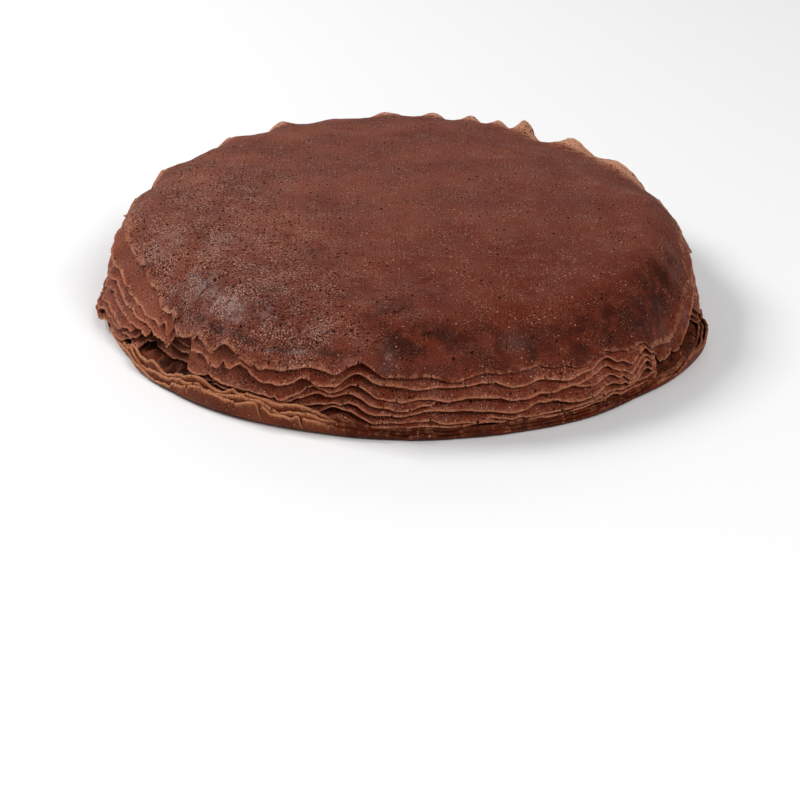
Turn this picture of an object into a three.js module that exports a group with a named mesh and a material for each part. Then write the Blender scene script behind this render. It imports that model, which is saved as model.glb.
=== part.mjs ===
// Chocolate crepe cake, whole and uncut: a stack of thin crepes, each with its own ruffled edge.
// Seven crepes drape over the stack and hang down at its side. Three lie under it like a shallow
// dish, with their rims turned up. Inside the shoulder the stack is solid; outside it every crepe
// is a thin sheet with air under its folds.
//
// Millimetres, +Z up. The origin is on the cake's axis, on the face it rests on.
// A bearing is an angle about +Z in degrees: 0 is +X, 90 is +Y (back), 270 is -Y (front).

import * as THREE from 'three';

const DRAPED_CREPES = 7;           // numbered 0 (top) to 6 (lowest)
const BASE_CREPES = 3;             // numbered 0 (lowest) to 2 (uppermost)
const LAYER_PITCH = 4.2;           // a crepe and its filling
const TOP_CENTRE = LAYER_PITCH * (DRAPED_CREPES + BASE_CREPES);
const SHOULDER_RADIUS = 90;        // where the gentle dome turns into the skirt
const LAYER_GAP = 0.45;            // clearance kept between neighbouring crepes

// ---------- Draped crepes ----------

const SKIRT_POWER = 2.7;           // how late the skirt steepens
const DOME_POWER = 2.2;
const DOME_FALL = [3.2, 2.4];      // fall from the axis to the shoulder: top crepe, lowest crepe
const OVALITY = 0.045;             // the top crepe's dome is this much narrower along X than along Y
const SHEET_DROP = 1.7;            // a crepe's thickness near its edge, measured straight down
const SHEET_MINIMUM = 1.0;         // the same where it is pressed on the one below
const EDGE_BEVEL = 0.6;            // the underside ends this much short of the edge
const SUPPORT_END = [0.3, 1.5];    // a crepe carries the next one until this far beyond its edge

// Height of the edges at the front, and how far they rise or hang elsewhere:
// [bearing, rise of the top crepe, rise of the lowest one].
const EDGE_HEIGHTS = [22.5, 18.6, 14.4, 12.4, 9.4, 7, 4];
const HEM = [
  [0, 7, 1], [15, 7.2, 1], [30, 8.5, 1.5], [95, 8.5, 1.5], [135, 8, 1.5], [147, 6, 1],
  [165, 8.5, -2], [188, 12.5, -5], [200, 9.2, 3], [207, 7.2, 0], [214, 2, -1.5], [218, 0.6, -3],
  [223, -3.4, -4], [229, -2.6, -4.5], [247, -3.4, -5.5], [254, 0.7, 0.5], [280, 0.7, 0.5],
  [295, -0.3, 0], [304, 0, -1.4], [311, -1.3, 0], [321, -4, -3], [331, -8.8, -9],
  [339, 0.3, -1], [350, 1, 0],
];
const HEM_POWER = 1.6;             // how soon the rise fades from the top crepe to the lowest one

// The edges seen from above: [bearing, radius of the top crepe, radius of the lowest draped one].
const EDGE_RADIUS = [
  [0, 103.5, 110.5], [20, 103.5, 110.5], [45, 107, 112.5], [90, 107.5, 113], [130, 104.5, 112],
  [158, 104.5, 109], [168, 104.2, 107.5], [177, 104.8, 110], [187, 104, 113.4],
  [194, 103.8, 115.8], [203, 103.3, 114.3], [212, 103.6, 113.3], [219, 105.2, 112.6],
  [226, 108, 112.5], [232, 111, 112.5], [250, 112, 112.8], [285, 112, 113], [318, 111.5, 112.8],
  [326, 111, 111.6], [335, 110.2, 112], [343, 107.8, 113], [352, 104.6, 112.3],
];
const EDGE_SPREAD_POWER = 0.45;    // the upper crepes step outwards faster than the lower ones

// Folds that several crepes share: [first crepe, last crepe, bearing on the first, drift of the
// bearing per crepe, half width, rise of the first, rise of the last]. A negative rise is a droop.
const SHARED_FOLDS = [
  [1, 2, 231.4, 1.8, 3.4, 2.6, 2.2], [1, 1, 241.2, 0, 3.6, 4.6, 4.6],
  [1, 6, 253.6, 1.1, 2.8, 2.4, 1.5], [0, 6, 263.2, -0.5, 4.4, 5.8, 2.2],
  [2, 6, 269.5, 0, 3, -1.2, -0.8], [0, 6, 275.3, -0.1, 4, 0.8, 1.2],
  [0, 6, 283.8, -0.1, 4, 0.8, 0.6], [0, 6, 289, 0.4, 3.2, -1.2, -1.3],
  [0, 6, 294.6, -0.1, 2.8, 1.2, 0.6], [1, 6, 308.3, 0.4, 3.6, 3.8, 2],
  [0, 6, 314.8, 0.3, 2.8, -1.5, -3], [1, 6, 318.6, 0.4, 3.4, 4.4, 3.4],
  [1, 1, 326.5, 0, 5, -7, -7], [1, 1, 331.5, 0, 5, -6.8, -6.8],
  [1, 1, 336, 0, 4.6, -9, -9], [1, 1, 340.5, 0, 4.5, -8, -8], [1, 1, 205, 0, 16, -2, -2],
];

// Folds of the top crepe alone: [bearing, half width, rise].
const TOP_FOLDS = [
  [231.4, 3.2, 4.4], [237.4, 4.2, 5], [260.3, 2.4, 1.6], [303, 6, -2.2], [307.6, 3.2, 1.6],
  [318, 3.2, 1.6], [22.5, 5, -4], [38, 11, 2.4], [51, 6.5, 4.6], [63.5, 4.2, 6.2],
  [69.5, 4.6, 5.6], [76, 5.4, 5.4], [85, 6.5, 5.2], [94, 8, 5.4], [107, 8, 3.6], [119.5, 6, 6],
  [132.5, 8, 3.8], [155, 5, 4.5], [164, 6, -5.5], [177, 8, -3.5],
];
const FOLD_START = 0.3;            // share of the skirt's width where a fold begins to rise
const FOLD_POWER = [1.8, 4.5];     // how late it rises: at the back, at the front
const SHARP_FOLDS = [246, 345];    // the front's folds rise late from bearing to bearing
const SHARP_FADE = 15;

// At the back right the top crepe sinks inside its turned-up border.
const DIP = [24, 58];              // from bearing, to bearing
const DIP_FADE = 14;
const DIP_RADII = [70, 93];
const DIP_DEPTH = 2.6;

// A tear runs down through every crepe but the top one, wider towards the bottom.
const TEAR_STARTS = [228, 223, 223.5, 217, 212, 213, 213.5];
const TEAR_ENDS = [228, 226.6, 226.8, 229.5, 231.5, 233, 233.5];
const TEAR_DEPTH = 6.5;
const TEAR_FADE = 2.8;

// At the right, the crepes under the second one are tucked in.
const TUCK_FIRST_CREPE = 2;
const TUCK_START = 323;
const TUCK_END = 345;
const TUCK_DEPTH = 5.4;
const TUCK_FADE = 3;

// At the front, one crepe is shorter than the one over it, and one hangs lower:
// [crepe, from bearing, to bearing, depth or drop].
const SHORT_CREPES = [[3, 279, 299, 4.5]];
const HANGING_CREPES = [[5, 267, 322, 2.2]];
const STRETCH_FADE = 4;

// At the left, the lowest draped crepes hang out over the rims of the base crepes.
const OVERHANG_START = 166;
const OVERHANG_END = 205;
const OVERHANG_FADE = 4;
const OVERHANG_REACH = 8;
const RIM_CLEARANCE = 0.2;
const RIM_APPROACH = 2;            // they begin to climb this far inside the rims

// Elsewhere a crepe stays inside the rims unless it hangs this far above them.
const INSIDE_REACH = 0.2;
const CLEAR_OF_RIM = [0.4, 1.4];

// Fine waves of the edges, [waves per turn, size, phase step per crepe].
const HEIGHT_WAVES = [[23, 0.3, 2.1], [41, 0.2, 3.7]];
const RADIUS_WAVES = [[7, 0.3, 2], [17, 0.3, 1.1]];

// ---------- Base crepes ----------

const RIM_PITCH = 1.2;             // crepe to crepe where the rims nest
const RIM_SHEET = 0.9;
const RIM_BEND = 4.5;              // outer radius of the bend from the floor into the rim
const RIM_LEAN = 75;               // steepest slope of the rim, degrees
const BEND_MIDDLE = 37;            // slope at the middle of the bend, degrees
const BEND_SHARE = 0.87;           // a low rim's bend ends this far up it
const RIM_LIP = 0.6;               // least height of a rim above its own floor

// [bearing, radius of the flat underside].
const FLOOR_RADIUS = [
  [0, 107.2], [25, 108.4], [90, 110.5], [180, 110], [197, 110], [204, 110.3], [211, 111],
  [217, 113], [221, 113.8], [228, 113], [270, 112.6], [315, 112.2], [327, 113.6], [338, 114],
  [345, 112.8], [352, 109.6],
];

// [bearing, height of the outermost rim, height of the innermost one].
const RIM_HEIGHT = [
  [0, 4.5, 4.5], [20, 3.6, 4], [90, 3.8, 4.2], [160, 3.4, 4], [180, 2.6, 3.9], [203, 3, 3.9],
  [208, 3.2, 4], [214, 3.4, 7.4], [218, 2.6, 6.4], [221.5, 2.8, 8.4], [224, 3.2, 5.4],
  [229, 5.4, 9.2], [234, 8.6, 11.2], [237.5, 7.6, 8.2], [241, 7.2, 11.4], [245, 8.5, 11],
  [249, 6.2, 8.8], [253, 6.2, 9.8], [258, 5, 7], [262, 4.6, 6.6], [265, 3.2, 4], [270, 1.4, 3.9],
  [275, 3.9, 4.4], [278, 1.9, 3.9], [285, 3.7, 4.3], [292, 1.7, 3.9], [298, 2.2, 3.9],
  [304.5, 1.7, 3.9], [309.5, 4, 4.6], [315, 1.9, 3.9], [320, 4, 4.4], [326, 3.4, 4.6],
  [332, 7.4, 5], [338, 6.4, 4.4], [345, 6, 4.4], [352, 4.4, 4.2],
];
const RIM_WAVES = [[19, 0.2, 2.4], [37, 0.2, 1.7]];
const FLOOR_WAVES = [[11, 0.3, 0], [5, 0.2, 0]];

// ---------- Mesh ----------

const FRONT_START = 175;           // the ruffled front has finer columns than the back
const FRONT_END = 345;
const FRONT_COLUMNS = 62;
const BACK_COLUMNS = 32;
const COARSE_STRIDE = 2;           // the smooth middle uses every second column
const TOP_CREPE_RINGS = [30, 60, 80, SHOULDER_RADIUS, 96, 100];
const HIDDEN_CREPE_RINGS = [SHOULDER_RADIUS, 100];
const OUTER_RING = 106.3;          // the last ring before the edge
const TORN_RING = 103.4;           // the same along the tear, just outside the torn edges
const RING_MARGIN = 1;             // a ring stays this far inside the crepe's edge
const SOLID_RADIUS = 94;           // inside this the stack has no air in it
const SHEET_RADIUS = 104;          // outside this a crepe is a thin sheet
const FOOT_SIDES = 6;              // coarse centre of the flat underside
const FOOT_RADIUS = 30;

// ---------- Colours ----------

const CREPE_COLOURS = { top: 0x5e332b, draped: 0x7a4736, base: 0x774330 };
const CREPE_ROUGHNESS = 0.62;

// ---------- Small helpers ----------

const { clamp, degToRad, euclideanModulo, lerp, radToDeg, smoothstep } = THREE.MathUtils;

function turnDifference(a, b) {
  return euclideanModulo(a - b + 180, 360) - 180;
}

function crest(x) {
  return 0.5 + 0.5 * Math.cos(Math.PI * Math.min(Math.abs(x), 1));
}

// The value in one column of a table of stations round the turn, joined smoothly.
function stationValue(stations, column, bearing) {
  const [first] = stations;
  const turn = euclideanModulo(bearing - first[0], 360) + first[0];
  const next = stations.findIndex(([at]) => at > turn);
  const from = stations.at(next < 0 ? -1 : next - 1);
  const to = stations.at(Math.max(next, 0));
  const end = next < 0 ? first[0] + 360 : to[0];
  return lerp(from[column], to[column], smoothstep(turn, from[0], end));
}

function waveSum(waves, crepe, bearing) {
  const angle = degToRad(bearing);
  const wave = ([count, size, phase]) => size * Math.sin(count * angle + phase * crepe);
  return waves.reduce((sum, each) => sum + wave(each), 0);
}

// 1 from start to end, falling smoothly to 0 over `fade` degrees outside them.
function between(bearing, start, end, fade) {
  const begun = smoothstep(turnDifference(bearing, start), -fade, 0);
  return begun * (1 - smoothstep(turnDifference(bearing, end), 0, fade));
}

// ---------- Base crepes: shape ----------

function floorRadius(bearing) {
  return stationValue(FLOOR_RADIUS, 1, bearing) + waveSum(FLOOR_WAVES, 0, bearing);
}

function rimHeight(base, bearing) {
  const outer = stationValue(RIM_HEIGHT, 1, bearing);
  const inner = stationValue(RIM_HEIGHT, 2, bearing);
  const wanted = lerp(outer, inner, base / (BASE_CREPES - 1)) + waveSum(RIM_WAVES, base, bearing);
  return Math.max(wanted, base * RIM_PITCH + RIM_SHEET + RIM_LIP);
}

// The face that lies `inset` inside the outermost one: a bend, then a straight leaning rim.
function bendHeight(inset, slope) {
  return RIM_BEND - (RIM_BEND - inset) * Math.cos(degToRad(slope));
}

function rimRadius(inset, height, bearing) {
  const bend = RIM_BEND - inset;
  const straight = height - bendHeight(inset, RIM_LEAN);
  if (straight <= 0) {
    return floorRadius(bearing) + Math.sqrt(bend ** 2 - (RIM_BEND - height) ** 2);
  }
  const lean = degToRad(RIM_LEAN);
  return floorRadius(bearing) + bend * Math.sin(lean) + straight / Math.tan(lean);
}

// Top of the base crepes, with their rims where the draped ones hang over them.
function stackFloor(radius, bearing) {
  const inset = (BASE_CREPES - 1) * RIM_PITCH + RIM_SHEET;
  const inner = BASE_CREPES * LAYER_PITCH - LAYER_GAP;
  const outer = bendHeight(inset, BEND_MIDDLE);
  const outerRadius = rimRadius(inset, outer, bearing);
  const out = clamp((radius - SHOULDER_RADIUS) / (outerRadius - SHOULDER_RADIUS), 0, 1);
  const rimTops = Array.from({ length: BASE_CREPES }, (_, base) => rimHeight(base, bearing));
  const hanging = between(bearing, OVERHANG_START, OVERHANG_END, 2 * OVERHANG_FADE);
  const floor = floorRadius(bearing);
  const over = hanging * smoothstep(radius, floor - RIM_APPROACH, floor);
  return lerp(lerp(inner, outer, out), Math.max(...rimTops) + RIM_CLEARANCE, over);
}

// ---------- Draped crepes: shape ----------

function share(crepe) {
  return crepe / (DRAPED_CREPES - 1);
}

// Sum over a crepe's stretches of the edge, [crepe, from bearing, to bearing, size].
function stretchSum(stretches, crepe, bearing) {
  return stretches
    .filter(([number]) => number === crepe)
    .reduce((sum, [, start, end, size]) => (
      sum + size * between(bearing, start, end, STRETCH_FADE)
    ), 0);
}

// How far a crepe's edge is torn, tucked in or short.
function shortfall(crepe, bearing) {
  const torn = crepe === 0 ? 0 : between(bearing, TEAR_STARTS[crepe], TEAR_ENDS[crepe], TEAR_FADE);
  const tucked = crepe < TUCK_FIRST_CREPE ? 0 : between(bearing, TUCK_START, TUCK_END, TUCK_FADE);
  return TEAR_DEPTH * torn + TUCK_DEPTH * tucked + stretchSum(SHORT_CREPES, crepe, bearing);
}

function foldRise(crepe, bearing) {
  let rise = 0;
  for (const [first, last, at, drift, half, firstRise, lastRise] of SHARED_FOLDS) {
    if (crepe >= first && crepe <= last) {
      const down = crepe - first;
      const size = lerp(firstRise, lastRise, down / Math.max(last - first, 1));
      rise += size * crest(turnDifference(bearing, at + drift * down) / half);
    }
  }
  for (const [at, half, size] of crepe === 0 ? TOP_FOLDS : []) {
    rise += size * crest(turnDifference(bearing, at) / half);
  }
  return rise;
}

function hemHeight(crepe, bearing) {
  const topShare = (1 - share(crepe)) ** HEM_POWER;
  const rise = lerp(stationValue(HEM, 2, bearing), stationValue(HEM, 1, bearing), topShare);
  const drop = stretchSum(HANGING_CREPES, crepe, bearing);
  return EDGE_HEIGHTS[crepe] + rise + waveSum(HEIGHT_WAVES, crepe, bearing) - drop;
}

function nominalEdge(crepe, bearing) {
  const top = stationValue(EDGE_RADIUS, 1, bearing);
  const low = stationValue(EDGE_RADIUS, 2, bearing);
  return lerp(top, low, share(crepe) ** EDGE_SPREAD_POWER);
}

function tornEdge(crepe, bearing) {
  const waves = waveSum(RADIUS_WAVES, crepe, bearing);
  return nominalEdge(crepe, bearing) - shortfall(crepe, bearing) + waves;
}

function dome(crepe, across) {
  const fall = lerp(DOME_FALL[0], DOME_FALL[1], share(crepe));
  return TOP_CENTRE - LAYER_PITCH * crepe - fall * (across / SHOULDER_RADIUS) ** DOME_POWER;
}

// The crepe's top as it would hang with nothing under it.
function freeTop(crepe, radius, bearing) {
  const sideways = 0.5 + 0.5 * Math.cos(2 * degToRad(bearing));
  const stretch = 1 + OVALITY * (1 - share(crepe)) * sideways;
  const edge = nominalEdge(crepe, bearing) * stretch;
  const skirt = Math.max(radius * stretch - SHOULDER_RADIUS, 0) / (edge - SHOULDER_RADIUS);
  const fall = dome(crepe, edge) - hemHeight(crepe, bearing);
  const power = lerp(...FOLD_POWER, between(bearing, ...SHARP_FOLDS, SHARP_FADE));
  const flared = clamp((skirt - FOLD_START) / (1 - FOLD_START), 0, 1) ** power;
  const sunk = crepe === 0 ? DIP_DEPTH * between(bearing, ...DIP, DIP_FADE) : 0;
  const dip = sunk * (flared - smoothstep(radius, ...DIP_RADII));
  const folded = foldRise(crepe, bearing) * flared;
  return dome(crepe, radius * stretch) - fall * skirt ** SKIRT_POWER + folded + dip;
}

// What a crepe lies on, and its top: the crepes are laid one on the other from the lowest up.
function drapedFaces(crepe, radius, bearing) {
  let under = stackFloor(radius, bearing) + LAYER_GAP;
  for (let number = DRAPED_CREPES - 1; number > crepe; number -= 1) {
    const top = Math.max(freeTop(number, radius, bearing), under + SHEET_MINIMUM);
    const bare = smoothstep(radius - tornEdge(number, bearing), ...SUPPORT_END);
    under = lerp(top + LAYER_GAP, under, bare);
  }
  return { under, top: Math.max(freeTop(crepe, radius, bearing), under + SHEET_MINIMUM) };
}

function drapedBottom(crepe, radius, bearing) {
  const { under, top } = drapedFaces(crepe, radius, bearing);
  const hanging = Math.max(under, top - SHEET_DROP);
  return lerp(under, hanging, smoothstep(radius, SOLID_RADIUS, SHEET_RADIUS));
}

// Edge radius. A crepe low enough to meet the rims stays inside them, apart from the overhang.
function edgeRadius(crepe, bearing) {
  const wanted = tornEdge(crepe, bearing);
  const bottom = drapedFaces(crepe, wanted, bearing).top - SHEET_DROP;
  const clear = smoothstep(bottom - rimHeight(BASE_CREPES - 1, bearing), ...CLEAR_OF_RIM);
  const over = between(bearing, OVERHANG_START, OVERHANG_END, OVERHANG_FADE);
  const reach = INSIDE_REACH + OVERHANG_REACH * Math.max(clear, over);
  return Math.min(wanted, floorRadius(bearing) + reach);
}

// ---------- Meshes ----------

function columnBearings() {
  const spread = (start, end, count) => (
    Array.from({ length: count }, (_, k) => lerp(start, end, k / count))
  );
  return [
    ...spread(FRONT_START, FRONT_END, FRONT_COLUMNS),
    ...spread(FRONT_END, FRONT_START + 360, BACK_COLUMNS),
  ];
}

const COLUMNS = columnBearings();

function pointAt(radius, bearing, height) {
  const angle = degToRad(bearing);
  return [radius * Math.cos(angle), radius * Math.sin(angle), height];
}

// One ring of points. `place` gives [radius, height] in a column; rings of the smooth middle
// are coarse.
function ring(place, stride = 1) {
  const points = [];
  for (let column = 0; column < COLUMNS.length; column += stride) {
    const [radius, height] = place(column);
    points.push(pointAt(radius, COLUMNS[column], height));
  }
  return points;
}

// A closed body lofted through rings that run from the top's centre out to the edge and back
// under to the bottom. The first ring is a single point; the last is one point or a small
// polygon that is filled flat.
function loftedBody(rings) {
  const positions = rings.flat(2);
  const starts = [];
  let total = 0;
  for (const points of rings) {
    starts.push(total);
    total += points.length;
  }
  const indices = [];
  for (let r = 0; r + 1 < rings.length; r += 1) {
    stitch(indices, rings[r], starts[r], rings[r + 1], starts[r + 1]);
  }
  fillPolygon(indices, starts.at(-1), rings.at(-1).length);
  const geometry = new THREE.BufferGeometry();
  geometry.setAttribute('position', new THREE.Float32BufferAttribute(positions, 3));
  geometry.setIndex(indices);
  geometry.computeVertexNormals();
  return geometry;
}

// How far round from the first column the k-th point of a ring lies, in degrees.
function turnOf(points, k) {
  if (k >= points.length || points.length === 1) {
    return Infinity;
  }
  const [x, y] = points[k];
  return euclideanModulo(radToDeg(Math.atan2(y, x)) - COLUMNS[0], 360);
}

// Joins two rings, of any counts, with a band of triangles that goes round both in step.
function stitch(indices, ringA, startA, ringB, startB) {
  const stepsA = ringA.length === 1 ? 0 : ringA.length;
  const stepsB = ringB.length === 1 ? 0 : ringB.length;
  let a = 0;
  let b = 0;
  while (a < stepsA || b < stepsB) {
    const atA = startA + (a % ringA.length);
    const atB = startB + (b % ringB.length);
    if (b < stepsB && (a >= stepsA || turnOf(ringB, b + 1) <= turnOf(ringA, a + 1))) {
      indices.push(atA, atB, startB + ((b + 1) % ringB.length));
      b += 1;
    } else {
      indices.push(atA, atB, startA + ((a + 1) % ringA.length));
      a += 1;
    }
  }
}

// Fills the underside's last ring: one triangle of every other corner, and the ears beside it.
function fillPolygon(indices, start, count) {
  if (count === 1) {
    return;
  }
  for (let k = 0; k < count; k += 2) {
    indices.push(start + k, start + ((k + 2) % count), start + k + 1);
  }
  indices.push(start, start + 4, start + 2);
}

// Height of a crepe's faceted top, a list of [radius, height] from the axis to the edge.
function heightOn(top, radius) {
  const [edge] = top.at(-1);
  if (radius > edge + SUPPORT_END[0]) {
    return -Infinity;
  }
  const reached = Math.min(radius, edge);
  const next = Math.max(top.findIndex(([at]) => at >= reached), 1);
  const [from, low] = top[next - 1];
  const [to, high] = top[next];
  return lerp(low, high, (reached - from) / (to - from));
}

// One column of a draped crepe: its top and its underside, from the axis to the edge. It clears
// the facets of the crepe below, whose top in the same column is `below`.
function drapedColumn(crepe, bearing, below) {
  const edge = edgeRadius(crepe, bearing);
  const within = (radius) => Math.min(radius, edge - RING_MARGIN);
  const resting = (radius) => (below ? heightOn(below, radius) + LAYER_GAP : -Infinity);
  const topAt = (radius) => [
    radius,
    Math.max(drapedFaces(crepe, radius, bearing).top, resting(radius) + SHEET_MINIMUM),
  ];
  const underAt = (radius) => [
    radius,
    Math.max(drapedBottom(crepe, radius, bearing), resting(radius)),
  ];
  const topRadii = crepe === 0 ? TOP_CREPE_RINGS : HIDDEN_CREPE_RINGS;
  const torn = between(bearing, TEAR_STARTS.at(-1), TEAR_ENDS.at(-1), TEAR_FADE);
  const outer = within(lerp(OUTER_RING, TORN_RING, torn));
  return {
    top: [0, ...topRadii, outer, edge].map(topAt),
    under: [0, ...HIDDEN_CREPE_RINGS, outer, edge - EDGE_BEVEL].map(underAt),
  };
}

function drapedCrepe(columns) {
  const rings = (face) => columns[0][face].map(([nominal], index) => {
    const stride = nominal > SHOULDER_RADIUS ? 1 : COARSE_STRIDE;
    const place = (column) => columns[column][face][index];
    return nominal === 0 ? [pointAt(0, 0, place(0)[1])] : ring(place, stride);
  });
  return loftedBody([...rings('top'), ...rings('under').toReversed()]);
}

function baseCrepe(base) {
  const outerInset = base * RIM_PITCH;
  const innerInset = outerInset + RIM_SHEET;
  const top = (base + 1) * LAYER_PITCH - LAYER_GAP;
  const bottom = base * LAYER_PITCH;
  const lip = (bearing) => rimHeight(base, bearing);
  const bendMiddle = (inset) => () => bendHeight(inset, BEND_MIDDLE);
  const bendEnd = (inset) => (bearing) => (
    Math.min(bendHeight(inset, RIM_LEAN), lerp(inset, lip(bearing), BEND_SHARE))
  );
  const rimRing = (inset, heightAt) => ring((column) => {
    const bearing = COLUMNS[column];
    const height = heightAt(bearing);
    return [rimRadius(inset, height, bearing), height];
  });
  const shoulderRing = (height) => ring(() => [SHOULDER_RADIUS, height], COARSE_STRIDE);
  const topRings = [
    [pointAt(0, 0, top)],
    shoulderRing(top),
    rimRing(innerInset, bendMiddle(innerInset)),
    rimRing(innerInset, bendEnd(innerInset)),
    rimRing(innerInset, lip),
  ];
  const bottomRings = [
    rimRing(outerInset, lip),
    rimRing(outerInset, bendEnd(outerInset)),
    rimRing(outerInset, bendMiddle(outerInset)),
  ];
  const foot = Array.from({ length: FOOT_SIDES }, (_, k) => (
    pointAt(FOOT_RADIUS, FRONT_START + (k * 360) / FOOT_SIDES, 0)
  ));
  const underside = base === 0
    ? [rimRing(0, () => 0), foot]
    : [shoulderRing(bottom), [pointAt(0, 0, bottom)]];
  return loftedBody([...topRings, ...bottomRings, ...underside]);
}

// ---------- The cake ----------

const cake = new THREE.Group();

function addCrepe(name, geometry, color) {
  const material = new THREE.MeshStandardMaterial({ color, roughness: CREPE_ROUGHNESS, metalness: 0 });
  const mesh = new THREE.Mesh(geometry, material);
  mesh.name = name;
  cake.add(mesh);
}

// Each draped crepe's columns are laid over those of the crepe below.
const draped = [];
for (let crepe = DRAPED_CREPES - 1; crepe >= 0; crepe -= 1) {
  draped[crepe] = COLUMNS.map((bearing, column) => (
    drapedColumn(crepe, bearing, draped[crepe + 1]?.[column].top)
  ));
}

for (let crepe = 0; crepe < DRAPED_CREPES; crepe += 1) {
  const colour = crepe === 0 ? CREPE_COLOURS.top : CREPE_COLOURS.draped;
  addCrepe(`crepe_${crepe + 1}`, drapedCrepe(draped[crepe]), colour);
}
for (let base = BASE_CREPES - 1; base >= 0; base -= 1) {
  addCrepe(`crepe_${DRAPED_CREPES + BASE_CREPES - base}`, baseCrepe(base), CREPE_COLOURS.base);
}

export default cake;
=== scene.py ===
import math

import bpy
import numpy as np
from mathutils import Matrix, Vector


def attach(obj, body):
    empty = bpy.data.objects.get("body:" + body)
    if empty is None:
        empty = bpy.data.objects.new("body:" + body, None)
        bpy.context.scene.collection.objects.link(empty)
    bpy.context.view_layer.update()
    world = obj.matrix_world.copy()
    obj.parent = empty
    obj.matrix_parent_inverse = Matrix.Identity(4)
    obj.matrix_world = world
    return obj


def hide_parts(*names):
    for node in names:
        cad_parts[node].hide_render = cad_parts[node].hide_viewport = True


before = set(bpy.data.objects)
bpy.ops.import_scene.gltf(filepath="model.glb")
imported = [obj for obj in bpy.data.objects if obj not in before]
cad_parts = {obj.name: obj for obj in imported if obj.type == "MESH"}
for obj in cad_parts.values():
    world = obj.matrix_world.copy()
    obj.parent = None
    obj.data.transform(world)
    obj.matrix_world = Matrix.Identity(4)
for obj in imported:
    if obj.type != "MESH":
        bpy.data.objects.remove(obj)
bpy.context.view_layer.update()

# A whole chocolate crepe cake. Seven crepes drape over the stack, numbered 0 (top) to 6. Three lie
# under it with their rims turned up, numbered 0 (lowest) to 2. The frame's nodes are crepe_1 (top)
# to crepe_10 (lowest). Lengths are millimetres until a mesh is made, and a bearing is an angle about
# +Z in degrees: 0 is +X (right), 90 is the back, 270 is the front.

MM = 0.001

# ---------- Shape shared with the CAD model ----------

# The values are the CAD model's. Only the tear's sides are steeper here, the tuck begins a little
# later, and the stack's floor runs straight to the feet of the rims.

DRAPED_CREPES = 7
BASE_CREPES = 3
LAYER_PITCH = 4.2                  # crepe and filling
TOP_CENTRE = LAYER_PITCH * (DRAPED_CREPES + BASE_CREPES)
SHOULDER_RADIUS = 90.0             # where the gentle dome turns into the skirt
SKIRT_POWER = 2.7                  # how late the skirt steepens
DOME_POWER = 2.2
DOME_FALL = (3.2, 2.4)             # from the axis to the shoulder: top crepe, lowest crepe
OVALITY = 0.045                    # the top crepe's dome is this much narrower along X than along Y
SHEET_MINIMUM = 1.0                # least thickness of a crepe and its filling
LAYER_GAP = 0.45                   # clearance kept between neighbouring crepes
SUPPORT_END = (0.3, 1.5)           # a crepe carries the next one until this far beyond its edge

# The draped crepes' edges: height at the front, then [bearing, rise there of the top crepe, of the
# lowest one].
EDGE_HEIGHTS = (22.5, 18.6, 14.4, 12.4, 9.4, 7.0, 4.0)
HEM = (
    (0, 7, 1), (15, 7.2, 1), (30, 8.5, 1.5), (95, 8.5, 1.5), (135, 8, 1.5), (147, 6, 1),
    (165, 8.5, -2), (188, 12.5, -5), (200, 9.2, 3), (207, 7.2, 0), (214, 2, -1.5),
    (218, 0.6, -3), (223, -3.4, -4), (229, -2.6, -4.5), (247, -3.4, -5.5), (254, 0.7, 0.5),
    (280, 0.7, 0.5), (295, -0.3, 0), (304, 0, -1.4), (311, -1.3, 0), (321, -4, -3),
    (331, -8.8, -9), (339, 0.3, -1), (350, 1, 0),
)
HEM_POWER = 1.6                    # how soon the rise fades from the top crepe to the lowest one

# The same edges seen from above: [bearing, radius of the top crepe, of the lowest draped one].
EDGE_RADIUS = (
    (0, 103.5, 110.5), (20, 103.5, 110.5), (45, 107, 112.5), (90, 107.5, 113),
    (130, 104.5, 112), (158, 104.5, 109), (168, 104.2, 107.5), (177, 104.8, 110),
    (187, 104, 113.4), (194, 103.8, 115.8), (203, 103.3, 114.3), (212, 103.6, 113.3),
    (219, 105.2, 112.6), (226, 108, 112.5), (232, 111, 112.5), (250, 112, 112.8),
    (285, 112, 113), (318, 111.5, 112.8), (326, 111, 111.6), (335, 110.2, 112),
    (343, 107.8, 113), (352, 104.6, 112.3),
)
EDGE_SPREAD_POWER = 0.45           # the upper crepes step outwards faster than the lower ones

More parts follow.
